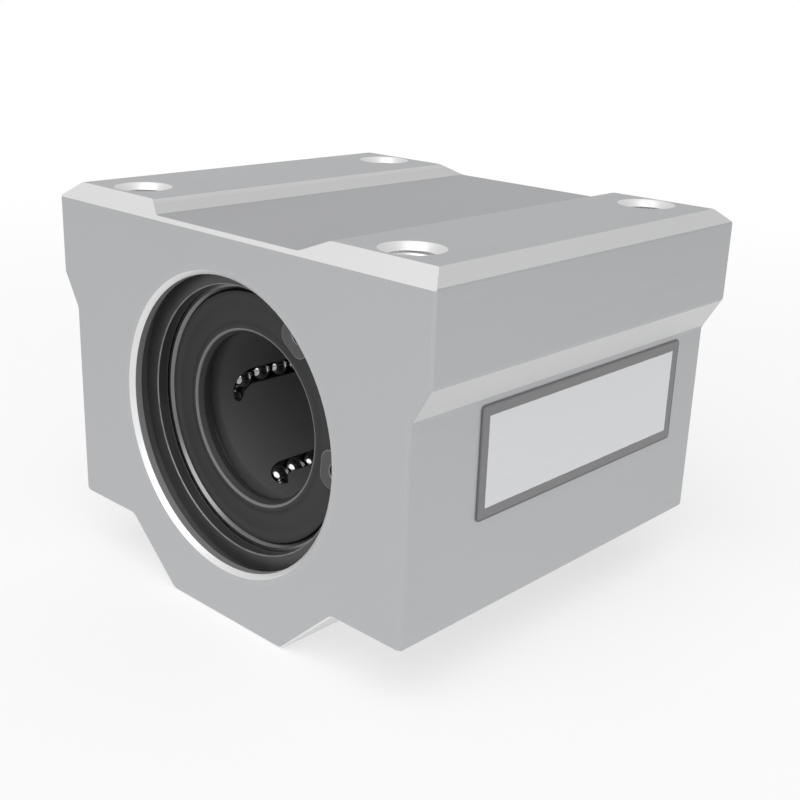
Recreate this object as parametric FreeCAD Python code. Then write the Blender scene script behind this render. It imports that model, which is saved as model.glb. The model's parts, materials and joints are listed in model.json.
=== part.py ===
import FreeCAD, Part
import math
import os

from FreeCAD import Vector

# Linear bearing block: an aluminium housing that carries a recirculating ball bearing for a round shaft.
# Frame: origin on the shaft axis at mid length, +Y along the shaft, +Z up to the mounting pads. Millimetres.

# Driving dimensions -------------------------------------------------------------------------------

# Housing section, seen along the shaft
block_width = 50.0
block_length = 44.0
pad_height = 19.0             # shaft axis to the mounting pads
flange_thickness = 9.0
flange_slope_height = 3.4     # sloped step from the flange down to the body
flange_overhang = 2.0         # flange past the side of the body
shoulder_depth = 13.5         # shaft axis to the underside of the body
belly_depth = 19.5            # shaft axis to the flat under the bore
belly_root_width = 29.2
belly_flat_width = 16.0
valley_depth = 1.05
valley_floor_width = 19.2
valley_wall_run = 2.4
top_edge_chamfer = 1.3
end_chamfer_drop = 1.4        # milled bevel along the top of each end face
end_chamfer_run = 1.8
edge_soft = 0.4
pad_edge_round = 1.2
valley_root_round = 1.5
flange_edge_round = 0.8
body_neck_round = 1.0
body_edge_round = 0.6
belly_root_round = 1.0
belly_edge_round = 1.5
end_edge_break = 0.2

# Bolt holes through flange and body
bolt_spacing_x = 36.0
bolt_spacing_y = 34.0
bolt_hole_diameter = 4.3
bolt_mouth_diameter = 5.6

# Bore and its circlips
bore_diameter = 28.0
bore_mouth_chamfer = 0.45
clip_groove_start = 1.15      # end face of the block to the groove
clip_depth = 2.25             # end face of the block to the circlip
clip_groove_diameter = 29.4
clip_groove_fit = 0.05        # radial
clip_thickness = 1.2
clip_band_width = 1.85
clip_lug_reach = 3.95         # outer edge of the band to the tip of a lug
clip_lug_angle = 17.5
clip_lug_hole = 1.6
clip_lug_tip_round = 1.2
clip_lug_root_round = 0.6
clip_gap_half_angle = 20.2
clip_gap_direction = 23.8     # degrees above +X

# Ball bearing
shaft_diameter = 16.0
bearing_end_play = 0.05       # end of the sleeve to the circlip
sleeve_fit = 0.02             # radial, in the housing bore
sleeve_edge_chamfer = 0.6
sleeve_mouth_chamfer = 0.35
sleeve_mouth_diameter = 24.2
sleeve_groove_width = 1.6
sleeve_groove_depth = 0.5
sleeve_groove_inset = 5.25    # end of the sleeve to the middle of its outer groove
race_ramp = 2.0               # length of the ramp off the raceway lands, per mm of its depth
ball_diameter = 2.381
ball_play = 0.01              # radial, ball to shaft and ball to raceway
ball_gap = 0.02               # least space between balls along the track
circuit_count = 5
first_row_angle = 31.0
circuit_angle = 24.0          # load row to return row
track_clearance = 0.06        # radial, ball to its track
track_floor = 0.6             # retainer under the return row
track_end_wall = 1.0
retainer_bore_gap = 0.35      # radial, retainer to shaft
retainer_fit = 0.15           # radial, retainer in the sleeve
rib_wall = 0.6                # retainer wall beside a return row
relief_depth_over_ball = 0.25
seal_recess = 0.1             # end of the sleeve to the face of the seal
seal_thickness = 1.8
seal_fit = 0.05
seal_bead_height = 0.35
seal_bead_width = 0.8
seal_lip_flare = 0.45
seal_lip_land = 0.6
end_ring_thickness = 1.0
end_ring_seat = 0.4           # depth of its groove in the sleeve
end_ring_inner_diameter = 19.6
end_ring_gap = 2.0
part_gap = 0.05               # axial, between retainer, end ring and seal

# Label on the +X side of the body
label_length = 30.7
label_height = 10.5
label_thickness = 0.12
label_centre_y = 2.05
label_top_margin = 0.4        # top of the body side to the label
label_corner = 0.4

# Worked-out sizes ---------------------------------------------------------------------------------

same = 1e-3                   # two places closer than this are one
half_length = block_length / 2
half_body = block_width / 2 - flange_overhang
flange_bottom = pad_height - flange_thickness
body_top = flange_bottom - flange_slope_height
bore_radius = bore_diameter / 2
groove_radius = clip_groove_diameter / 2
clip_radius = groove_radius - clip_groove_fit

shaft_radius = shaft_diameter / 2
ball_radius = ball_diameter / 2
sleeve_radius = bore_radius - sleeve_fit
clip_outer_y = half_length - clip_depth
clip_inner_y = clip_outer_y - clip_thickness
sleeve_end = clip_inner_y - bearing_end_play
load_radius = shaft_radius + ball_play + ball_radius
race_radius = load_radius + ball_radius + ball_play
retainer_inner = shaft_radius + retainer_bore_gap
return_radius = retainer_inner + track_floor + track_clearance + ball_radius
relief_radius = return_radius + ball_radius + relief_depth_over_ball
track_radius = ball_radius + track_clearance

sleeve_mouth_radius = sleeve_mouth_diameter / 2
seal_outer_y = sleeve_end - seal_recess
seal_inner_y = seal_outer_y - seal_thickness
ring_outer_y = seal_inner_y - part_gap
ring_inner_y = ring_outer_y - end_ring_thickness
retainer_end = ring_inner_y - part_gap
ring_groove_radius = sleeve_mouth_radius + end_ring_seat
bead_groove_radius = sleeve_mouth_radius + seal_bead_height + seal_fit

up = Vector(0, 0, 1)
along = Vector(0, 1, 0)
centre = Vector(0, 0, 0)

os.makedirs("parts", exist_ok=True)


# Helpers ------------------------------------------------------------------------------------------

def rounded_outline(corners, y):
    """Closed wire in the plane of one y. Each corner is (x, z, radius) and gets a tangent arc."""
    count = len(corners)
    rounds = []
    for index, (x, z, radius) in enumerate(corners):
        point = Vector(x, y, z)
        before = corners[index - 1]
        after = corners[(index + 1) % count]
        to_before = (Vector(before[0], y, before[1]) - point).normalize()
        to_after = (Vector(after[0], y, after[1]) - point).normalize()
        half_angle = to_before.getAngle(to_after) / 2
        reach = radius / math.tan(half_angle)
        bisector = (to_before + to_after).normalize()
        middle = point + bisector * (radius / math.sin(half_angle) - radius)
        rounds.append((point + to_before * reach, middle, point + to_after * reach))
    edges = []
    for index, (start, middle, end) in enumerate(rounds):
        edges.append(Part.Arc(start, middle, end).toShape())
        edges.append(Part.LineSegment(end, rounds[(index + 1) % count][0]).toShape())
    return Part.Wire(edges)


def turned(outline):
    """Solid of revolution about the shaft axis. The outline is a closed list of (radius, y)."""
    points = [Vector(radius, y, 0) for radius, y in outline]
    face = Part.Face(Part.makePolygon(points + points[:1]))
    return face.revolve(centre, along, 360)


def disc(radius, y, height, offset=centre):
    """Cylinder along +Y from y, centred on the shaft axis or beside it."""
    return Part.makeCylinder(radius, height, Vector(offset.x, y, offset.z), along)


def wedge(radius, start_angle, end_angle, y, height):
    """Pie slice about the shaft axis. Angles are in degrees from +X towards +Z."""
    def rim(angle):
        return Vector(radius * math.cos(math.radians(angle)), y, radius * math.sin(math.radians(angle)))
    arc = Part.Arc(rim(start_angle), rim((start_angle + end_angle) / 2), rim(end_angle)).toShape()
    hub = Vector(0, y, 0)
    sides = [Part.LineSegment(hub, rim(start_angle)).toShape(), Part.LineSegment(rim(end_angle), hub).toShape()]
    return Part.Face(Part.Wire([sides[0], arc, sides[1]])).extrude(along * height)


def flipped(shape):
    """The same piece at the other end of the block, turned about the vertical axis."""
    copy = shape.copy()
    copy.rotate(centre, up, 180)
    return copy


def save(name, shape):
    shape.exportStep("parts/" + name + ".step")
    print(name, len(shape.Solids), "solids", round(shape.Volume, 1), "mm3", shape.isValid())


# Housing ------------------------------------------------------------------------------------------

def housing_section():
    """Right half of the section from the valley down to the belly, then the same on the left."""
    valley_floor = valley_floor_width / 2
    right = [
        (valley_floor, pad_height - valley_depth, valley_root_round),
        (valley_floor + valley_wall_run, pad_height, pad_edge_round),
        (block_width / 2 - top_edge_chamfer, pad_height, edge_soft),
        (block_width / 2, pad_height - top_edge_chamfer, edge_soft),
        (block_width / 2, flange_bottom, flange_edge_round),
        (half_body, body_top, body_neck_round),
        (half_body, -shoulder_depth, body_edge_round),
        (belly_root_width / 2, -shoulder_depth, belly_root_round),
        (belly_flat_width / 2, -belly_depth, belly_edge_round),
    ]
    left = [(-x, z, radius) for x, z, radius in reversed(right)]
    return right + left


def end_bevel():
    """Wedge that is milled off the top edge of the +Y end face."""
    margin = 1.0
    points = [
        Vector(-block_width, half_length - end_chamfer_run, pad_height),
        Vector(-block_width, half_length - end_chamfer_run, pad_height + margin),
        Vector(-block_width, half_length + margin, pad_height + margin),
        Vector(-block_width, half_length + margin, pad_height - end_chamfer_drop),
        Vector(-block_width, half_length, pad_height - end_chamfer_drop),
    ]
    return Part.Face(Part.makePolygon(points + points[:1])).extrude(Vector(2 * block_width, 0, 0))


def bore_cutter():
    """Bearing seat with a chamfered mouth and a circlip groove at each end."""
    half = [
        (bore_radius, sleeve_end),
        (groove_radius, sleeve_end),
        (groove_radius, half_length - clip_groove_start),
        (bore_radius, half_length - clip_groove_start),
        (bore_radius, half_length - bore_mouth_chamfer),
        (bore_radius + 2 * bore_mouth_chamfer, half_length + bore_mouth_chamfer),
    ]
    outer = [(radius, -y) for radius, y in reversed(half)] + half
    axis_ends = [(0, half_length + bore_mouth_chamfer), (0, -half_length - bore_mouth_chamfer)]
    return turned(outer + axis_ends)


def bolt_cutter(x, y):
    """Through hole from pad to shoulder, with a countersunk mouth on the pad."""
    hole_radius = bolt_hole_diameter / 2
    mouth_radius = bolt_mouth_diameter / 2
    bottom = Vector(x, y, -shoulder_depth - hole_radius)
    hole = Part.makeCylinder(hole_radius, pad_height + shoulder_depth + 2 * hole_radius, bottom, up)
    sink = mouth_radius - hole_radius
    mouth = Part.makeCone(hole_radius, mouth_radius + sink, 2 * sink, Vector(x, y, pad_height - sink), up)
    return hole.fuse(mouth)


def end_outline_edges(shape):
    """Edges of both end faces below the bevel."""
    chosen = []
    for edge in shape.Edges:
        box = edge.BoundBox
        on_end = abs(abs(box.Center.y) - half_length) < same and box.YLength < same
        is_top = box.ZMin > pad_height - end_chamfer_drop - same
        if on_end and not is_top:
            chosen.append(edge)
    return chosen


def make_housing():
    outline = rounded_outline(housing_section(), -half_length)
    block = Part.Face(outline).extrude(along * block_length)
    bevel = end_bevel()
    block = block.cut(bevel).cut(flipped(bevel))
    block = block.makeChamfer(end_edge_break, end_outline_edges(block))
    block = block.cut(bore_cutter())
    for side in (-1, 1):
        for end in (-1, 1):
            block = block.cut(bolt_cutter(side * bolt_spacing_x / 2, end * bolt_spacing_y / 2))
    return block


# Circlip ------------------------------------------------------------------------------------------

def edges_at(shape, radius):
    """Edges parallel to the shaft at one distance from its axis."""
    chosen = []
    for edge in shape.Edges:
        box = edge.BoundBox
        straight = box.XLength < same and box.ZLength < same
        if straight and abs(math.hypot(box.Center.x, box.Center.z) - radius) < same:
            chosen.append(edge)
    return chosen


def make_circlip():
    """Internal retaining ring at the -Y end: a stamped band that ends in two rounded lugs with plier holes."""
    face_y = -clip_outer_y
    band_inner = clip_radius - clip_band_width
    lug_tip = clip_radius - clip_lug_reach
    low_end = clip_gap_direction - clip_gap_half_angle
    high_end = clip_gap_direction + clip_gap_half_angle
    whole = disc(clip_radius, face_y, clip_thickness)
    clip = whole.cut(disc(band_inner, face_y, clip_thickness))
    lug_ring = whole.cut(disc(lug_tip, face_y, clip_thickness))
    for start, end in ((low_end - clip_lug_angle, low_end), (high_end, high_end + clip_lug_angle)):
        clip = clip.fuse(lug_ring.common(wedge(bore_diameter, start, end, face_y, clip_thickness)))
    clip = clip.cut(wedge(bore_diameter, low_end, high_end, face_y, clip_thickness)).removeSplitter()
    clip = clip.makeFillet(clip_lug_tip_round, edges_at(clip, lug_tip))
    clip = clip.makeFillet(clip_lug_root_round, edges_at(clip, band_inner))
    hole_ring = (clip_radius + lug_tip) / 2
    for middle in (low_end - clip_lug_angle / 2, high_end + clip_lug_angle / 2):
        angle = math.radians(middle)
        spot = Vector(hole_ring * math.cos(angle), 0, hole_ring * math.sin(angle))
        clip = clip.cut(disc(clip_lug_hole / 2, face_y, clip_thickness, spot))
    return clip


# Ball circuits ------------------------------------------------------------------------------------

# Every circuit lies in a plane that holds the shaft direction and the line from its load row to its
# return row. The track is two straight runs joined by half turns.
load_spot = Vector(load_radius, 0, 0)
return_spot = Vector(
    return_radius * math.cos(math.radians(circuit_angle)), 0,
    return_radius * math.sin(math.radians(circuit_angle)))
across = (return_spot - load_spot).normalize()
turn_radius = load_spot.distanceToPoint(return_spot) / 2
turn_spot = (load_spot + return_spot) * 0.5
outward = along.cross(across)
if outward.dot(turn_spot) < 0:
    outward = outward * -1
run_half = retainer_end - track_end_wall - track_radius - turn_radius
track_length = 4 * run_half + 2 * math.pi * turn_radius
balls_per_circuit = int(track_length / (ball_diameter + ball_gap))


def track_point(distance):
    """Centre of a ball that has rolled this far: up the load row, round, down the return row, round."""
    run = 2 * run_half
    turn = math.pi * turn_radius
    if distance < run:
        return load_spot + along * (distance - run_half)
    if distance < run + turn:
        angle = (distance - run) / turn_radius
        return turn_spot - across * (turn_radius * math.cos(angle)) + along * (
            run_half + turn_radius * math.sin(angle))
    if distance < 2 * run + turn:
        return return_spot + along * (run_half - (distance - run - turn))
    angle = (distance - 2 * run - turn) / turn_radius
    return turn_spot + across * (turn_radius * math.cos(angle)) - along * (
        run_half + turn_radius * math.sin(angle))


def make_circuit(row_angle):
    balls = []
    for index in range(balls_per_circuit):
        spot = track_point(track_length * (index + 0.5) / balls_per_circuit)
        balls.append(Part.makeSphere(ball_radius, spot))
    group = Part.makeCompound(balls)
    group.rotate(centre, along, -row_angle)
    return group


def track_section(spot, height):
    """U of the track in the plane across the runs: round floor about the ball centre, walls open outwards."""
    left = spot - across * track_radius
    right = spot + across * track_radius
    edges = [
        Part.LineSegment(left + outward * height, left).toShape(),
        Part.Arc(left, spot - outward * track_radius, right).toShape(),
        Part.LineSegment(right, right + outward * height).toShape(),
        Part.LineSegment(right + outward * height, left + outward * height).toShape(),
    ]
    return Part.Face(Part.Wire(edges))


def track_cutters():
    height = relief_radius - load_radius + ball_radius
    pieces = []
    for spot in (load_spot, return_spot):
        section = track_section(spot - along * run_half, height)
        pieces.append(section.extrude(along * (2 * run_half)))
    for end in (-1, 1):
        hub = turn_spot + along * (end * run_half)
        section = track_section(load_spot + along * (end * run_half), height)
        turn = section.revolve(hub, outward, 180)
        if turn.BoundBox.Center.y * end < run_half:
            turn = section.revolve(hub, outward * -1, 180)
        pieces.append(turn)
    return pieces


# Ball retainer ------------------------------------------------------------------------------------

rib_half_angle = math.degrees(math.asin((track_radius + rib_wall) / return_radius))
relief_half_angle = rib_half_angle + math.degrees(retainer_fit / relief_radius)


def make_retainer():
    """Moulded cage: a tube with a rib over each return row and a closed ball track round each circuit."""
    full = 2 * retainer_end
    body = disc(race_radius - retainer_fit, -retainer_end, full)
    rib_blank = disc(relief_radius - retainer_fit, -retainer_end, full)
    for index in range(circuit_count):
        middle = first_row_angle + index * 360 / circuit_count + circuit_angle
        slice_shape = wedge(bore_radius, middle - rib_half_angle, middle + rib_half_angle, -retainer_end, full)
        body = body.fuse(rib_blank.common(slice_shape))
    body = body.removeSplitter().cut(disc(retainer_inner, -retainer_end, full))
    cutters = []
    for index in range(circuit_count):
        for piece in track_cutters():
            piece.rotate(centre, along, -(first_row_angle + index * 360 / circuit_count))
            cutters.append(piece)
    return body.cut(cutters)


# Bearing sleeve, end rings and seals --------------------------------------------------------------

def make_sleeve():
    """Hardened cylinder: raceway lands in the middle, wider ends for the turns, seats for ring and seal."""
    groove_outer = sleeve_end - sleeve_groove_inset + sleeve_groove_width / 2
    groove_inner = groove_outer - sleeve_groove_width
    outside = [
        (sleeve_radius, groove_inner),
        (sleeve_radius - sleeve_groove_depth, groove_inner),
        (sleeve_radius - sleeve_groove_depth, groove_outer),
        (sleeve_radius, groove_outer),
        (sleeve_radius, sleeve_end - sleeve_edge_chamfer),
        (sleeve_radius - sleeve_edge_chamfer, sleeve_end),
    ]
    bead_middle = (seal_outer_y + seal_inner_y) / 2
    bead_half = seal_bead_width / 2 + seal_fit
    ramp = (relief_radius - race_radius) * race_ramp
    inside = [
        (sleeve_mouth_radius + sleeve_mouth_chamfer, sleeve_end),
        (sleeve_mouth_radius, sleeve_end - sleeve_mouth_chamfer),
        (sleeve_mouth_radius, bead_middle + bead_half),
        (bead_groove_radius, bead_middle + bead_half),
        (bead_groove_radius, bead_middle - bead_half),
        (sleeve_mouth_radius, bead_middle - bead_half),
        (sleeve_mouth_radius, ring_outer_y),
        (ring_groove_radius, ring_outer_y),
        (ring_groove_radius, ring_inner_y),
        (relief_radius, ring_inner_y),
        (relief_radius, run_half + ramp),
        (race_radius, run_half),
    ]
    top = outside + inside
    sleeve = turned(top + [(radius, -y) for radius, y in reversed(top)])
    relief_length = 2 * (run_half + ramp)
    relief_disc = disc(relief_radius, -relief_length / 2, relief_length)
    reliefs = []
    for index in range(circuit_count):
        middle = first_row_angle + index * 360 / circuit_count + circuit_angle
        low = middle - relief_half_angle
        high = middle + relief_half_angle
        reliefs.append(relief_disc.common(wedge(bore_radius, low, high, -relief_length / 2, relief_length)))
    return sleeve.cut(reliefs)


def make_end_ring():
    """Split spring ring at the -Y end of the retainer."""
    ring = turned([
        (end_ring_inner_diameter / 2, -ring_outer_y),
        (ring_groove_radius - seal_fit, -ring_outer_y),
        (ring_groove_radius - seal_fit, -ring_inner_y),
        (end_ring_inner_diameter / 2, -ring_inner_y),
    ])
    slot_low = Vector(-end_ring_gap / 2, -ring_outer_y, -ring_groove_radius)
    slot = Part.makeBox(end_ring_gap, end_ring_thickness, ring_groove_radius, slot_low)
    return ring.cut(slot)


def make_seal():
    """Rubber end seal at the -Y end, with a bead in the sleeve and a lip that wipes the shaft."""
    outer_radius = sleeve_mouth_radius - seal_fit
    bead_middle = (seal_outer_y + seal_inner_y) / 2
    land_outer = bead_middle + seal_lip_land / 2
    land_inner = bead_middle - seal_lip_land / 2
    half = [
        (shaft_radius + seal_lip_flare, seal_outer_y),
        (outer_radius, seal_outer_y),
        (outer_radius, bead_middle + seal_bead_width / 2),
        (outer_radius + seal_bead_height, bead_middle + seal_bead_width / 2),
        (outer_radius + seal_bead_height, bead_middle - seal_bead_width / 2),
        (outer_radius, bead_middle - seal_bead_width / 2),
        (outer_radius, seal_inner_y),
        (shaft_radius + 2 * seal_lip_flare, seal_inner_y),
        (shaft_radius, land_inner),
        (shaft_radius, land_outer),
    ]
    return turned([(radius, -y) for radius, y in half])


# Label --------------------------------------------------------------------------------------------

def make_label():
    half_y = label_length / 2
    half_z = label_height / 2
    corners = [(-half_y, -half_z), (half_y, -half_z), (half_y, half_z), (-half_y, half_z)]
    outline = rounded_outline([(y, z, label_corner) for y, z in corners], 0)
    label = Part.Face(outline).extrude(along * label_thickness)
    label.rotate(centre, up, -90)
    label.translate(Vector(half_body, label_centre_y, body_top - label_top_margin - half_z))
    return label


# The pieces ---------------------------------------------------------------------------------------

save("housing", make_housing())
circlip = make_circlip()
save("circlip_front", circlip)
save("circlip_rear", flipped(circlip))
save("bearing_sleeve", make_sleeve())
save("ball_retainer", make_retainer())
for number in range(circuit_count):
    circuit = make_circuit(first_row_angle + number * 360 / circuit_count)
    save("ball_circuit_" + str(number + 1), circuit)
end_ring = make_end_ring()
save("end_ring_front", end_ring)
save("end_ring_rear", flipped(end_ring))
seal = make_seal()
save("seal_front", seal)
save("seal_rear", flipped(seal))
save("label", make_label())
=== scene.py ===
import json
import math

import bmesh
import bpy
import numpy as np
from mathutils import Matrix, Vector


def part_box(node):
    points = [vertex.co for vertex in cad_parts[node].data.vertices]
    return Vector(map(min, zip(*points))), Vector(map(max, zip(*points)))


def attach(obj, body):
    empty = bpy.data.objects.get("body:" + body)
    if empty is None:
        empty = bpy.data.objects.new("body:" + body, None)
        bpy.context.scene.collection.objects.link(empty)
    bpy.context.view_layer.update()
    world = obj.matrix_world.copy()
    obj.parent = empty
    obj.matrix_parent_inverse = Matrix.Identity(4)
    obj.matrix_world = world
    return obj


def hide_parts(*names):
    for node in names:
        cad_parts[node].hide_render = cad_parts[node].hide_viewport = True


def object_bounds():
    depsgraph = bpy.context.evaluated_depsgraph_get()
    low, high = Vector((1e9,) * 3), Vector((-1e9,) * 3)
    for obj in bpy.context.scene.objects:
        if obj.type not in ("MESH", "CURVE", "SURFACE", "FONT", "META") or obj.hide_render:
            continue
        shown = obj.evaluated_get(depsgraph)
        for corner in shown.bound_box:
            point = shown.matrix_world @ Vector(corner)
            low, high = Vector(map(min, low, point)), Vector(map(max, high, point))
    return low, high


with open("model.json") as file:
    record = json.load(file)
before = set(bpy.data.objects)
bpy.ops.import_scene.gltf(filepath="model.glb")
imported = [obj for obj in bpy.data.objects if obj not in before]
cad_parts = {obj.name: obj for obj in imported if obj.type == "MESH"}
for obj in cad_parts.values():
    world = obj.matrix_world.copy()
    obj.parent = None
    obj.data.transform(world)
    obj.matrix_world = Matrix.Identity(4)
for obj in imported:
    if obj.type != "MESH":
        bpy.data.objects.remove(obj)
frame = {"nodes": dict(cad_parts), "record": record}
cad_low, cad_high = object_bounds()
nodes = frame["nodes"]
mounts = {mount["name"]: mount for mount in frame["record"]["mounts"]}

# Camera -------------------------------------------------------------------------------------------
# A normal lens a little above the pads. It sees the front end, the labelled side and the pads.

camera_data = bpy.data.cameras.new("camera")
camera_data.sensor_width = 36.0
camera_data.lens = 54.02
camera_data.clip_start = 0.01
camera = bpy.data.objects.new("camera", camera_data)
camera.location = (0.08096, -0.08621, 0.03870)
camera.rotation_euler = [math.radians(turn) for turn in (70.866, -1.969, 43.312)]
bpy.context.scene.collection.objects.link(camera)
bpy.context.scene.camera = camera

# Housing ------------------------------------------------------------------------------------------
# A length of extruded aluminium, with milled ends and pads and a turned bore. The whole is etched and
# clear anodised, so its skin is satin, with faint lines along the extrusion and arcs from the mill on
# the ends. The pads hold four tapped holes.

housing_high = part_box("housing")[1]
edge_round = 0.00009
hole_radius = mounts["bolt_holes"]["dims"]["hole_r_mm"] / 1000
hole_spacing = [mounts["bolt_holes"]["dims"][key] / 1000 for key in ("spacing_x_mm", "spacing_y_mm")]
thread_pitch = 0.0008
thread_depth = 0.00035
thread_root = 0.0001
thread_length = 0.012
rows_per_turn = 12
countersink_width = 0.00068
groove_start = 0.00115
seat_radius = 0.014
seat_margin = 0.00003
mouth_width = 0.001
pad_margin = 0.0003
cutter_centre = (0.075, 0, 0.03)
silver = (0.475, 0.48, 0.49)
# Bright tone for bare metal, and for the painted highlight on the housing's slopes and bevels.
bare_metal_and_highlight_tone = (0.80, 0.80, 0.80)
# Painted shade for the valley between the pads.
valley_shade_tone = (0.25, 0.25, 0.26)
# Painted shade for the ring groove in the bore.
groove_shade_tone = (0.17, 0.17, 0.173)


def merged_copy(node):
    """A bmesh of a CAD node with its loose triangles joined and flat faces made one."""
    mesh = nodes[node].data.copy()
    mesh.attributes.remove(mesh.attributes["custom_normal"])
    shape = bmesh.new()
    shape.from_mesh(mesh)
    bpy.data.meshes.remove(mesh)
    bmesh.ops.remove_doubles(shape, verts=shape.verts, dist=1e-7)
    bmesh.ops.dissolve_limit(shape, angle_limit=math.radians(0.2), verts=shape.verts, edges=shape.edges)
    return shape


def round_edges(shape, width, keep=lambda edge: False):
    """Small round on each edge that turns more than 30 degrees. Its faces get the value 1 in edge_faces."""
    layer = shape.faces.layers.float.new("edge_faces")
    turns = [edge for edge in shape.edges if edge.is_manifold and edge.calc_face_angle() > math.radians(30)]
    sharp = [edge for edge in turns if not keep(edge)]
    rounds = bmesh.ops.bevel(
        shape, geom=sharp, offset=width, offset_type="OFFSET", segments=3, profile=0.5,
        affect="EDGES", clamp_overlap=True)
    for face in rounds["faces"]:
        face[layer] = 1.0


def finish_piece(name, shape, material, slot, *replaced):
    """The mesh object of a piece, smooth but for edges that turn more than 50 degrees, with the flat faces'
    own normals, that rides on the block."""
    for edge in shape.edges:
        edge.smooth = edge.calc_face_angle() < math.radians(50)
    mesh = bpy.data.meshes.new(name)
    shape.to_mesh(mesh)
    shape.free()
    mesh.polygons.foreach_set("use_smooth", [True] * len(mesh.polygons))
    mesh.materials.clear()
    mesh.materials.append(material)
    piece = bpy.data.objects.new(name, mesh)
    bpy.context.scene.collection.objects.link(piece)
    normals = piece.modifiers.new("flat faces stay flat", "WEIGHTED_NORMAL")
    normals.keep_sharp = True
    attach(piece, "root")
    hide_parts(*replaced)
    return piece


def tap_hole(shape, centre_x, centre_y):
    """Puts a helical thread in a plain hole. On a grid of angle and depth, the radius is the hole's plus a
    60 degree groove: full depth within half a root flat of the helix line, then falling by the flank's
    slope. The groove fades in and out at both ends of the thread."""
    def rim(vert):
        return abs(math.hypot(vert.co.x - centre_x, vert.co.y - centre_y) - hole_radius) < 2e-5
    wall = [f for f in shape.faces if all(rim(v) for v in f.verts) and abs(f.normal.z) < 0.5]
    rim_verts = {v for f in wall for v in f.verts}
    top_z = max(v.co.z for v in rim_verts)
    bottom_z = min(v.co.z for v in rim_verts)
    bmesh.ops.delete(shape, geom=wall, context="FACES_ONLY")
    spare = [e for v in rim_verts for e in v.link_edges if not e.link_faces]
    bmesh.ops.delete(shape, geom=list(set(spare)), context="EDGES")
    rings = {}
    for height in (top_z, bottom_z):
        ring = [v for v in rim_verts if v.is_valid and abs(v.co.z - height) < 1e-5]
        rings[height] = sorted(ring, key=lambda v: math.atan2(v.co.y - centre_y, v.co.x - centre_x))
    angles = np.array([math.atan2(v.co.y - centre_y, v.co.x - centre_x) for v in rings[top_z]])
    depths = np.linspace(0, thread_length, int(thread_length / thread_pitch * rows_per_turn) + 1)[1:]
    turn, depth = np.meshgrid(angles / (2 * math.pi), depths)
    off_line = np.abs((depth / thread_pitch + turn) % 1 - 0.5) * thread_pitch
    flank = (off_line - thread_root / 2) / math.tan(math.radians(30))
    fade = np.clip(np.minimum(depth / thread_pitch, (thread_length - depth) / thread_pitch), 0, 1)
    radius = hole_radius + np.clip(thread_depth - np.maximum(flank, 0), 0, None) * fade
    points = np.stack([
        centre_x + radius * np.cos(2 * math.pi * turn),
        centre_y + radius * np.sin(2 * math.pi * turn), top_z - depth], axis=-1)
    rows = [rings[top_z]] + [[shape.verts.new(point) for point in row] for row in points]
    rows.append(rings[bottom_z])
    for upper, lower in zip(rows, rows[1:]):
        for index in range(len(upper)):
            shape.faces.new((upper[index - 1], upper[index], lower[index], lower[index - 1]))


def new_material(name):
    """An empty tree with a Principled shader on its output."""
    material = bpy.data.materials.new(name)
    material.use_nodes = True
    tree = material.node_tree
    tree.nodes.clear()
    output = tree.nodes.new("ShaderNodeOutputMaterial")
    shader = tree.nodes.new("ShaderNodeBsdfPrincipled")
    tree.links.new(shader.outputs["BSDF"], output.inputs["Surface"])
    return material, tree, shader


def new_group(name, inputs, outputs):
    """An empty node group. Inputs are name: default, outputs are names. All sockets are numbers."""
    group = bpy.data.node_groups.new(name, "ShaderNodeTree")
    for label, value in inputs.items():
        socket = group.interface.new_socket(label, in_out="INPUT", socket_type="NodeSocketFloat")
        socket.default_value = value
    for label in outputs:
        group.interface.new_socket(label, in_out="OUTPUT", socket_type="NodeSocketFloat")
    return group, group.nodes.new("NodeGroupInput"), group.nodes.new("NodeGroupOutput")


def place_group(tree, group, **values):
    """The group as a node of a material, with its own values. Underscores in names stand for spaces."""
    node = tree.nodes.new("ShaderNodeGroup")
    node.node_tree = group
    for label, value in values.items():
        node.inputs[label.replace("_", " ")].default_value = value
    return node


def math_node(tree, operation, *sources):
    """A Math node fed by sockets or numbers. Returns its output socket."""
    node = tree.nodes.new("ShaderNodeMath")
    node.operation = operation
    for socket, source in zip(node.inputs, sources):
        if isinstance(source, (int, float)):
            socket.default_value = source
        else:
            tree.links.new(source, socket)
    return node.outputs[0]


def mix_colour(tree, share, first, second, blend="MIX"):
    """A colour Mix node. Colours are tuples or sockets, share is a number or a socket."""
    node = tree.nodes.new("ShaderNodeMix")
    node.data_type = "RGBA"
    node.blend_type = blend
    for label, source in (("Factor_Float", share), ("A_Color", first), ("B_Color", second)):
        socket = next(s for s in node.inputs if s.identifier == label)
        if isinstance(source, tuple):
            socket.default_value = (*source, 1)
        elif isinstance(source, (int, float)):
            socket.default_value = source
        else:
            tree.links.new(source, socket)
    return next(s for s in node.outputs if s.identifier == "Result_Color")


def object_point(tree, scale=(1, 1, 1)):
    """Object coordinates, stretched by a Mapping node."""
    coordinates = tree.nodes.new("ShaderNodeTexCoord")
    mapping = tree.nodes.new("ShaderNodeMapping")
    mapping.inputs["Scale"].default_value = scale
    tree.links.new(coordinates.outputs["Object"], mapping.inputs["Vector"])
    return mapping.outputs["Vector"]


def split_vector(tree, vector):
    """A vector's X, Y and Z as the outputs of a node."""
    node = tree.nodes.new("ShaderNodeSeparateXYZ")
    tree.links.new(vector, node.inputs["Vector"])
    return node.outputs


def hypotenuse(tree, first, second):
    """The square root of the sum of two squares."""
    squares = [math_node(tree, "MULTIPLY", side, side) for side in (first, second)]
    return math_node(tree, "SQRT", math_node(tree, "ADD", *squares))


def noise(tree, point, scale, detail=2.0):
    """Noise at a point, with so many features in a metre."""
    node = tree.nodes.new("ShaderNodeTexNoise")
    node.inputs["Scale"].default_value = scale
    node.inputs["Detail"].default_value = detail
    tree.links.new(point, node.inputs["Vector"])
    return node.outputs["Fac"]


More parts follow.
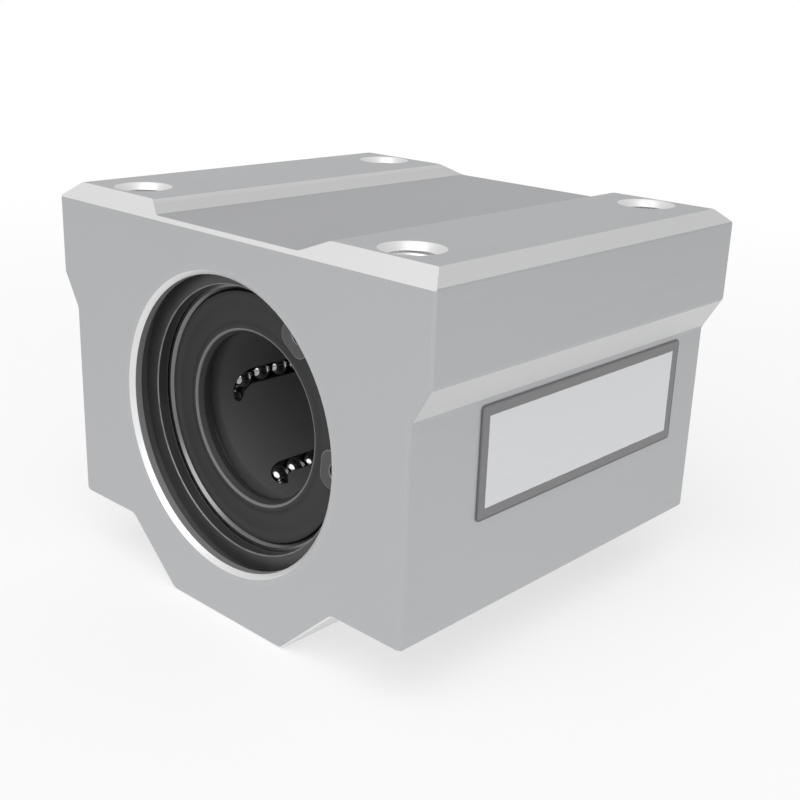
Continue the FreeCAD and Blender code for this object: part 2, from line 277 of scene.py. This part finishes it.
def bump(tree, height, shader, distance):
    """A Bump node on the shader's normal. Distance is the height in metres of a full step."""
    node = tree.nodes.new("ShaderNodeBump")
    node.inputs["Distance"].default_value = distance
    tree.links.new(height, node.inputs["Height"])
    tree.links.new(node.outputs["Normal"], shader.inputs["Normal"])


def vary_roughness(tree, shader, least, swing, source):
    """Roughness from least to least + swing, as a socket goes from 0 to 1."""
    swung = math_node(tree, "MULTIPLY", source, swing)
    tree.links.new(math_node(tree, "ADD", least, swung), shader.inputs["Roughness"])


# Grain: a fine even sparkle over slow clouds, as on etched metal, moulded plastic and rubber.
grain, grain_in, grain_out = new_group("grain", {"Fine": 4000.0, "Cloud": 60.0}, ["Height", "Shade"])
grain_point = object_point(grain)
fine = grain.nodes.new("ShaderNodeTexNoise")
fine.inputs["Detail"].default_value = 3.0
grain.links.new(grain_in.outputs["Fine"], fine.inputs["Scale"])
cloud = grain.nodes.new("ShaderNodeTexNoise")
cloud.inputs["Detail"].default_value = 2.0
grain.links.new(grain_in.outputs["Cloud"], cloud.inputs["Scale"])
for texture in (fine, cloud):
    grain.links.new(grain_point, texture.inputs["Vector"])
grain.links.new(fine.outputs["Fac"], grain_out.inputs["Height"])
grain.links.new(
    math_node(grain, "ADD", math_node(grain, "MULTIPLY", fine.outputs["Fac"], 0.3),
              math_node(grain, "MULTIPLY", cloud.outputs["Fac"], 0.7)), grain_out.inputs["Shade"])

# Turning marks: fine rings about the shaft axis, uneven from ring to ring, as a lathe tool leaves them.
turning, turning_in, turning_out = new_group("turning marks", {"Rings per mm": 6.0}, ["Height"])
place = split_vector(turning, object_point(turning))
across = hypotenuse(turning, place["X"], place["Z"])
rings_per_metre = math_node(turning, "MULTIPLY", turning_in.outputs["Rings per mm"], 1000.0)
ring_number = math_node(turning, "MULTIPLY", math_node(turning, "ADD", across, place["Y"]), rings_per_metre)
ring_noise = turning.nodes.new("ShaderNodeTexNoise")
ring_noise.noise_dimensions = "1D"
ring_noise.inputs["Scale"].default_value = 1.0
turning.links.new(ring_number, ring_noise.inputs["W"])
turning.links.new(ring_noise.outputs["Fac"], turning_out.inputs["Height"])

# Wear and highlight: a rounded edge made paler, partly where it has rubbed bright and partly as painted
# highlight. It breaks up along the edge.
wear_and_highlight, wear_and_highlight_in, wear_and_highlight_out = new_group("edge wear and highlight", {"Breaks": 500.0, "Amount": 0.7}, ["Mask"])
edge_mark = wear_and_highlight.nodes.new("ShaderNodeAttribute")
edge_mark.attribute_name = "edge_faces"
breaks = wear_and_highlight.nodes.new("ShaderNodeTexNoise")
wear_and_highlight.links.new(object_point(wear_and_highlight), breaks.inputs["Vector"])
wear_and_highlight.links.new(wear_and_highlight_in.outputs["Breaks"], breaks.inputs["Scale"])
worn_and_highlit = math_node(wear_and_highlight, "MULTIPLY", edge_mark.outputs["Fac"], math_node(
    wear_and_highlight, "SMOOTH_MIN", 1.0, math_node(wear_and_highlight, "MULTIPLY", breaks.outputs["Fac"], 1.7), 0.2))
wear_and_highlight.links.new(math_node(wear_and_highlight, "MULTIPLY", worn_and_highlit, wear_and_highlight_in.outputs["Amount"]), wear_and_highlight_out.inputs["Mask"])

material, tree, shader = new_material("anodised_aluminium")
point = object_point(tree)
place = split_vector(tree, point)
facing = split_vector(tree, tree.nodes.new("ShaderNodeNewGeometry").outputs["True Normal"])
end_share = math_node(tree, "GREATER_THAN", math_node(tree, "ABSOLUTE", facing["Y"]), 0.3)
from_axis = hypotenuse(tree, place["X"], place["Z"])
from_end = math_node(tree, "SUBTRACT", housing_high.y, math_node(tree, "ABSOLUTE", place["Y"]))
in_bore = math_node(tree, "LESS_THAN", from_axis, seat_radius + mouth_width)
in_groove = math_node(tree, "MULTIPLY", in_bore, math_node(
    tree, "MULTIPLY", math_node(tree, "GREATER_THAN", from_end, groove_start),
    math_node(tree, "GREATER_THAN", from_axis, seat_radius + seat_margin)))
skin = place_group(tree, grain, Fine=5200.0, Cloud=45.0)
drawn = noise(tree, object_point(tree, (1500, 14, 1500)), 1.0, 3.0)
milled = tree.nodes.new("ShaderNodeTexWave")
milled.wave_type = "RINGS"
milled.rings_direction = "Y"
milled.inputs["Scale"].default_value = 620.0
milled.inputs["Distortion"].default_value = 1.5
milled.inputs["Detail Scale"].default_value = 40.0
mill_centre = tree.nodes.new("ShaderNodeMapping")
mill_centre.inputs["Location"].default_value = cutter_centre
tree.links.new(point, mill_centre.inputs["Vector"])
tree.links.new(mill_centre.outputs["Vector"], milled.inputs["Vector"])
turned = place_group(tree, turning, Rings_per_mm=9.0)
lines = tree.nodes.new("ShaderNodeMix")
tree.links.new(end_share, lines.inputs["Factor"])
tree.links.new(drawn, lines.inputs["A"])
tree.links.new(math_node(tree, "MULTIPLY", milled.outputs["Fac"], 0.25), lines.inputs["B"])
lines_in_bore = tree.nodes.new("ShaderNodeMix")
tree.links.new(in_bore, lines_in_bore.inputs["Factor"])
tree.links.new(lines.outputs["Result"], lines_in_bore.inputs["A"])
tree.links.new(turned.outputs["Height"], lines_in_bore.inputs["B"])
# Painted highlight: sloped faces (bevels, chamfers, slopes and the bore's mouth) are lightened toward the
# bright tone by the way they face, fully on the ends and in the bore, about half elsewhere. Hole mouths take
# the same tone as bare tapped metal.
normal_sizes = [math_node(tree, "ABSOLUTE", facing[axis]) for axis in "XYZ"]
squareness = math_node(tree, "MAXIMUM", normal_sizes[0], math_node(tree, "MAXIMUM", *normal_sizes[1:]))
sloped = math_node(tree, "LESS_THAN", squareness, 0.97)
lying = math_node(tree, "MAXIMUM", in_bore, math_node(tree, "GREATER_THAN", normal_sizes[2], 0.5))
rounded = tree.nodes.new("ShaderNodeAttribute")
rounded.attribute_name = "edge_faces"
sloped = math_node(tree, "MULTIPLY", math_node(tree, "MULTIPLY", sloped, lying), math_node(
    tree, "SUBTRACT", 1.0, rounded.outputs["Fac"]))
from_hole = hypotenuse(tree, *[
    math_node(tree, "SUBTRACT", math_node(tree, "ABSOLUTE", place[axis]), spacing / 2)
    for axis, spacing in zip("XY", hole_spacing)])
in_hole_mouth = math_node(
    tree, "MULTIPLY", math_node(tree, "LESS_THAN", from_hole, hole_radius + countersink_width),
    math_node(tree, "GREATER_THAN", facing["Z"], -0.95))
along_block = math_node(tree, "MULTIPLY", math_node(tree, "SUBTRACT", 1.0, in_bore), 0.55)
bare_holes_and_painted_highlight = math_node(tree, "MAXIMUM", in_hole_mouth, math_node(
    tree, "MULTIPLY", sloped, math_node(tree, "MAXIMUM", end_share, along_block)))
dark_silver, light_silver = [tuple(c * share for c in silver) for share in (0.94, 1.06)]
tone = mix_colour(tree, skin.outputs["Shade"], dark_silver, light_silver)
# Painted shade: upward faces below the pads, as in the valley between them, are darkened.
shaded_valley = math_node(tree, "MULTIPLY", math_node(tree, "GREATER_THAN", facing["Z"], 0.9), math_node(
    tree, "MULTIPLY", math_node(tree, "LESS_THAN", place["Z"], housing_high.z - pad_margin),
    math_node(tree, "GREATER_THAN", from_axis, seat_radius + mouth_width)))
tone = mix_colour(tree, math_node(tree, "MULTIPLY", shaded_valley, 0.3), tone, valley_shade_tone)
# Painted highlight on the sloped faces, and bare metal at the hole mouths.
tone = mix_colour(tree, bare_holes_and_painted_highlight, tone, bare_metal_and_highlight_tone)
tone = mix_colour(tree, math_node(tree, "MULTIPLY", lines_in_bore.outputs["Result"], 0.12), tone, bare_metal_and_highlight_tone)
# Faintly paler rounded edges: a little wear and painted highlight.
tone = mix_colour(tree, place_group(tree, wear_and_highlight, Breaks=260.0, Amount=0.1).outputs["Mask"], tone, bare_metal_and_highlight_tone)
# Painted shade: the ring groove in the bore, behind its shoulder, is darkened.
tone = mix_colour(tree, in_groove, tone, groove_shade_tone)
tree.links.new(tone, shader.inputs["Base Color"])
tree.links.new(math_node(tree, "ADD", 0.36, math_node(
    tree, "ADD", math_node(tree, "MULTIPLY", skin.outputs["Shade"], 0.16),
    math_node(tree, "MULTIPLY", lines_in_bore.outputs["Result"], 0.08))), shader.inputs["Roughness"])
shader.inputs["Metallic"].default_value = 0.75
bump(tree, math_node(tree, "ADD", math_node(tree, "MULTIPLY", skin.outputs["Height"], 0.5),
                     lines_in_bore.outputs["Result"]), shader, 0.000004)

block = merged_copy("housing")


def in_hole(edge):
    """True for the rims of the plain holes, which the thread needs sharp."""
    centre_x, centre_y = hole_spacing[0] / 2, hole_spacing[1] / 2
    from_centre = [math.hypot(abs(v.co.x) - centre_x, abs(v.co.y) - centre_y) for v in edge.verts]
    return all(abs(distance - hole_radius) < 2e-5 for distance in from_centre)


round_edges(block, edge_round, in_hole)
for side in (-0.5, 0.5):
    for end in (-0.5, 0.5):
        tap_hole(block, side * hole_spacing[0], end * hole_spacing[1])
finish_piece("housing_block", block, material, "housing", "housing")

# Circlips -----------------------------------------------------------------------------------------
# Internal retaining rings, stamped from spring steel, hardened and phosphated black. The tumbled edges
# are round and a little brighter, partly where the black has rubbed off and partly as painted highlight.

material, tree, shader = new_material("black_phosphated_steel")
skin = place_group(tree, grain, Fine=6000.0, Cloud=300.0)
black = mix_colour(tree, skin.outputs["Shade"], (0.062, 0.062, 0.064), (0.092, 0.092, 0.095))
rubbed_and_highlit = place_group(tree, wear_and_highlight, Breaks=900.0, Amount=0.75)
# Paler rounded edges: partly rubbed-off black, partly painted highlight.
tree.links.new(mix_colour(tree, rubbed_and_highlit.outputs["Mask"], black, (0.30, 0.30, 0.31)),
               shader.inputs["Base Color"])
vary_roughness(tree, shader, 0.30, 0.25, skin.outputs["Shade"])
shader.inputs["Metallic"].default_value = 0.6
bump(tree, skin.outputs["Height"], shader, 0.000006)
for end in ("front", "rear"):
    clip = merged_copy("circlip_" + end)
    round_edges(clip, 0.00011)
    finish_piece("retaining_ring_" + end, clip, material, "circlip", "circlip_" + end)

# Bearing sleeve -----------------------------------------------------------------------------------
# The outer cylinder of the ball bearing: hardened bearing steel, ground outside and on its ends.
# Its dark tone is painted shade, for the shade inside the bore.

material, tree, shader = new_material("ground_steel")
rings = place_group(tree, turning, Rings_per_mm=14.0)
skin = place_group(tree, grain, Fine=3000.0, Cloud=120.0)
# Painted shade: a dark steel tone, for the shade inside the bore.
tree.links.new(mix_colour(tree, skin.outputs["Shade"], (0.15, 0.15, 0.155), (0.23, 0.23, 0.235)),
               shader.inputs["Base Color"])
vary_roughness(tree, shader, 0.18, 0.2, rings.outputs["Height"])
shader.inputs["Metallic"].default_value = 1.0
bump(tree, rings.outputs["Height"], shader, 0.000004)
nodes["bearing_sleeve"].material_slots[0].material = material

# Ball retainer ------------------------------------------------------------------------------------
# A cage moulded in black resin. It guides five closed tracks of balls. Its grey is a little lighter
# than black, as painted light for the dim inside of the bore.

material, tree, shader = new_material("black_resin")
skin = place_group(tree, grain, Fine=2600.0, Cloud=150.0)
# Painted light: a grey a little lighter than black resin, for the dim inside of the bore.
tree.links.new(mix_colour(tree, skin.outputs["Shade"], (0.095, 0.095, 0.098), (0.125, 0.125, 0.128)),
               shader.inputs["Base Color"])
vary_roughness(tree, shader, 0.38, 0.2, skin.outputs["Shade"])
bump(tree, skin.outputs["Height"], shader, 0.000008)
nodes["ball_retainer"].material_slots[0].material = material

# Ball circuits ------------------------------------------------------------------------------------
# Polished steel balls under a thin film of grease, which dulls them in patches. Their dark steel tone
# is painted shade, for the closed cavity they run in.

material, tree, shader = new_material("polished_steel")
film = noise(tree, object_point(tree), 900.0, 2.0)
# Painted shade: a darker steel tone for the closed cavity; the patches are the grease film.
tree.links.new(mix_colour(tree, film, (0.30, 0.30, 0.305), (0.44, 0.44, 0.445)), shader.inputs["Base Color"])
vary_roughness(tree, shader, 0.04, 0.14, film)
shader.inputs["Metallic"].default_value = 1.0
for name, node in nodes.items():
    if name.startswith("ball_circuit"):
        node.material_slots[0].material = material

# End rings ----------------------------------------------------------------------------------------
# Split rings of rolled spring steel wire that hold the cage in the sleeve.

material, tree, shader = new_material("spring_steel")
rings = place_group(tree, turning, Rings_per_mm=10.0)
tree.links.new(mix_colour(tree, rings.outputs["Height"], (0.22, 0.22, 0.225), (0.34, 0.34, 0.345)),
               shader.inputs["Base Color"])
vary_roughness(tree, shader, 0.22, 0.2, rings.outputs["Height"])
shader.inputs["Metallic"].default_value = 1.0
for end in ("front", "rear"):
    nodes["end_ring_" + end].material_slots[0].material = material

# Seals --------------------------------------------------------------------------------------------
# Moulded black rubber rings, pressed into the ends of the sleeve. A bead outside snaps into a groove,
# and the lip inside wipes the shaft. The face is dished between the rim and the lip, and a thin paler
# ring at the lip's edge is a painted highlight.

seal_low, seal_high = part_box("seal_front")
bead_radius = seal_high.x
bead_height = 0.00035
bead_width = 0.0008
lip_radius = mounts["shaft_bore"]["dims"]["r_mm"] / 1000
lip_flare = 0.00045
lip_land = 0.0006
lip_highlight_half = 0.00012
dish_depth = 0.00018
seal_steps = 192


def rounded_profile(corners, steps=5):
    """Closed outline through corners of (radius, y, round). Each corner becomes an arc that leaves both
    sides at the same distance, drawn as a quadratic curve from one tangent point to the other."""
    corner = np.array(corners)
    spot, size = corner[:, :2], corner[:, 2:]
    to_last = np.roll(spot, 1, axis=0) - spot
    to_next = np.roll(spot, -1, axis=0) - spot
    to_last /= np.linalg.norm(to_last, axis=1, keepdims=True)
    to_next /= np.linalg.norm(to_next, axis=1, keepdims=True)
    share = np.linspace(0, 1, steps)[None, :, None]
    start = (spot + to_last * size)[:, None, :]
    stop = (spot + to_next * size)[:, None, :]
    middle = spot[:, None, :]
    curve = (1 - share) ** 2 * start + 2 * share * (1 - share) * middle + share ** 2 * stop
    return curve.reshape(-1, 2)


def ring_surface(profile, steps):
    """Closed ring: the profile's radius goes round the shaft axis by the cosine and sine of the turn."""
    turn = np.linspace(0, 2 * math.pi, steps, endpoint=False)[:, None]
    radius, along = profile[:, 0][None, :], profile[:, 1][None, :]
    points = np.stack([radius * np.cos(turn), along + 0 * turn, radius * np.sin(turn)], axis=-1)
    count = len(profile)
    row = np.arange(steps)[:, None] * count
    next_row = np.roll(np.arange(steps), -1)[:, None] * count
    place_now = np.arange(count)[None, :]
    place_next = np.roll(np.arange(count), -1)[None, :]
    corners = [row + place_now, row + place_next, next_row + place_next, next_row + place_now]
    faces = np.stack(corners, axis=-1)
    mesh = bpy.data.meshes.new("ring")
    mesh.from_pydata(points.reshape(-1, 3).tolist(), [], faces.reshape(-1, 4).tolist())
    shape = bmesh.new()
    shape.from_mesh(mesh)
    bpy.data.meshes.remove(mesh)
    bmesh.ops.recalc_face_normals(shape, faces=shape.faces)
    return shape


seal_face = -seal_low.y
seal_back = -seal_high.y
bead_middle = (seal_face + seal_back) / 2
seal_corners = [
    (lip_radius + lip_flare, seal_face, 0.00010),
    (lip_radius + lip_flare + 0.0004, seal_face, 0.00015),
    (lip_radius + lip_flare + 0.0008, seal_face - dish_depth, 0.0002),
    (bead_radius - bead_height - 0.0009, seal_face - dish_depth, 0.0002),
    (bead_radius - bead_height - 0.0005, seal_face, 0.00015),
    (bead_radius - bead_height, seal_face, 0.00012),
    (bead_radius - bead_height, bead_middle + bead_width / 2, 0.00005),
    (bead_radius, bead_middle + bead_width / 2, 0.00015),
    (bead_radius, bead_middle - bead_width / 2, 0.00015),
    (bead_radius - bead_height, bead_middle - bead_width / 2, 0.00005),
    (bead_radius - bead_height, seal_back, 0.00015),
    (lip_radius + 2 * lip_flare, seal_back, 0.00015),
    (lip_radius, bead_middle - lip_land / 2, 0.00008),
    (lip_radius, bead_middle + lip_land / 2, 0.00008),
]
material, tree, shader = new_material("black_rubber")
skin = place_group(tree, grain, Fine=3500.0, Cloud=220.0)
place = split_vector(tree, object_point(tree))
off_lip = math_node(tree, "SUBTRACT", hypotenuse(tree, place["X"], place["Z"]), lip_radius + lip_flare)
lip_highlight = math_node(tree, "LESS_THAN", math_node(tree, "ABSOLUTE", off_lip), lip_highlight_half)
rubber = mix_colour(tree, skin.outputs["Shade"], (0.020, 0.020, 0.021), (0.036, 0.036, 0.038))
# Painted highlight: a thin paler ring at the lip's edge.
tree.links.new(mix_colour(tree, math_node(tree, "MULTIPLY", lip_highlight, 0.8), rubber, (0.20, 0.20, 0.20)),
               shader.inputs["Base Color"])
vary_roughness(tree, shader, 0.46, 0.24, skin.outputs["Shade"])
shader.inputs["Specular IOR Level"].default_value = 0.32
bump(tree, skin.outputs["Height"], shader, 0.000010)
for end, sign in (("front", -1), ("rear", 1)):
    corners = [(radius, sign * along, size) for radius, along, size in seal_corners]
    ring = ring_surface(rounded_profile(corners), seal_steps)
    finish_piece("wiper_seal_" + end, ring, material, "seal", "seal_" + end)

# Label --------------------------------------------------------------------------------------------
# A foil sticker on the flat of the labelled side: a pale satin field in a grey printed border. It is
# left without words.

label_low, label_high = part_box("label")
label_middle = (label_low + label_high) / 2
label_half = (label_high - label_low) / 2
border = 0.00105
ragged_height = 0.00008
cut_edge_width = 0.00018
pale_foil = (0.70, 0.705, 0.715)
border_grey = (0.20, 0.20, 0.206)

material, tree, shader = new_material("label_foil")
place = split_vector(tree, object_point(tree))


def edge_distance(axis, middle, half):
    """Distance from the label's nearer edge along one axis."""
    off_middle = math_node(tree, "ABSOLUTE", math_node(tree, "SUBTRACT", place[axis], middle))
    return math_node(tree, "SUBTRACT", half, off_middle)


inward = math_node(tree, "MINIMUM", edge_distance("Y", label_middle.y, label_half.y),
                   edge_distance("Z", label_middle.z, label_half.z))
ragged = math_node(tree, "MULTIPLY", math_node(
    tree, "SUBTRACT", noise(tree, object_point(tree), 1500.0), 0.5), ragged_height)
in_border = math_node(tree, "LESS_THAN", math_node(tree, "ADD", inward, ragged), border)
cut_edge = math_node(tree, "LESS_THAN", inward, cut_edge_width)
foil_grain = noise(tree, object_point(tree, (1, 160, 5200)), 1.0, 3.0)
foil = mix_colour(tree, foil_grain, tuple(c * 0.96 for c in pale_foil), tuple(c * 1.04 for c in pale_foil))
ink = mix_colour(tree, foil_grain, tuple(c * 0.9 for c in border_grey), tuple(c * 1.15 for c in border_grey))
tone = mix_colour(tree, in_border, foil, ink)
tone = mix_colour(tree, math_node(tree, "MULTIPLY", cut_edge, 0.6), tone, (0.09, 0.09, 0.092))
tree.links.new(tone, shader.inputs["Base Color"])
vary_roughness(tree, shader, 0.34, 0.18, foil_grain)
shader.inputs["Metallic"].default_value = 0.25
bump(tree, math_node(tree, "ADD", math_node(tree, "MULTIPLY", foil_grain, 0.2), noise(
    tree, object_point(tree), 110.0, 1.0)), shader, 0.00002)
nodes["label"].material_slots[0].material = material

# Studio -------------------------------------------------------------------------------------------
# A pale table that runs out into white, so no horizon shows. The table keeps the block's shadow, and the
# metal mirrors it as white. One large key lamp stands above the camera, in a white surround.

bpy.context.scene.view_settings.view_transform = "Standard"
floor_half = 40.0
floor_mesh = bpy.data.meshes.new("floor")
floor_mesh.from_pydata(
    [(x * floor_half, y * floor_half, cad_low.z) for x, y in ((-1, -1), (1, -1), (1, 1), (-1, 1))],
    [], [(0, 1, 2, 3)])
floor = bpy.data.objects.new("floor", floor_mesh)
bpy.context.scene.collection.objects.link(floor)
material, tree, shader = new_material("pale_table")
point = object_point(tree)
mottle = noise(tree, point, 40.0, 3.0)
tree.links.new(mix_colour(tree, mottle, (0.90, 0.90, 0.90), (0.92, 0.92, 0.92)), shader.inputs["Base Color"])
shader.inputs["Roughness"].default_value = 0.9
distance = tree.nodes.new("ShaderNodeVectorMath")
distance.operation = "LENGTH"
tree.links.new(point, distance.inputs[0])
ray = tree.nodes.new("ShaderNodeLightPath")
shares = []
for rays, near, far, share_near, share_far in (
        ("Is Camera Ray", 0.06, 0.25, 0.6, 1.0), ("Is Glossy Ray", 0.04, 0.17, 1.0, 0.22)):
    ramp = tree.nodes.new("ShaderNodeMapRange")
    ramp.interpolation_type = "SMOOTHSTEP"
    for label, value in (
            ("From Min", near), ("From Max", far), ("To Min", share_near), ("To Max", share_far)):
        ramp.inputs[label].default_value = value
    tree.links.new(distance.outputs["Value"], ramp.inputs["Value"])
    shares.append(math_node(tree, "MULTIPLY", ramp.outputs["Result"], ray.outputs[rays]))
white = tree.nodes.new("ShaderNodeEmission")
whitened = tree.nodes.new("ShaderNodeMixShader")
tree.links.new(math_node(tree, "ADD", *shares), whitened.inputs["Fac"])
tree.links.new(shader.outputs["BSDF"], whitened.inputs[1])
tree.links.new(white.outputs["Emission"], whitened.inputs[2])
tree.links.new(whitened.outputs["Shader"], tree.nodes["Material Output"].inputs["Surface"])
floor_mesh.materials.append(material)

world = bpy.data.worlds.new("studio")
world.use_nodes = True
bpy.context.scene.world = world
tree = world.node_tree
tree.nodes.clear()
output = tree.nodes.new("ShaderNodeOutputWorld")
surround = tree.nodes.new("ShaderNodeBackground")
surround.inputs["Color"].default_value = (1, 1, 1, 1)
ray = tree.nodes.new("ShaderNodeLightPath")
fill = 0.55
in_mirror = 0.72
seen = math_node(tree, "MULTIPLY", ray.outputs["Is Camera Ray"], 1.0 - fill)
mirrored = math_node(tree, "MULTIPLY", ray.outputs["Is Glossy Ray"], in_mirror - fill)
tree.links.new(math_node(tree, "ADD", fill, math_node(tree, "ADD", seen, mirrored)),
               surround.inputs["Strength"])
tree.links.new(surround.outputs["Background"], output.inputs["Surface"])

lamp_data = bpy.data.lights.new("key lamp", "AREA")
lamp_data.size = 1.2
lamp_data.energy = 9.3
lamp = bpy.data.objects.new("key lamp", lamp_data)
lamp.location = (0.30, -0.62, 0.82)
lamp.rotation_euler = lamp.location.to_track_quat("Z", "Y").to_euler()
bpy.context.scene.collection.objects.link(lamp)
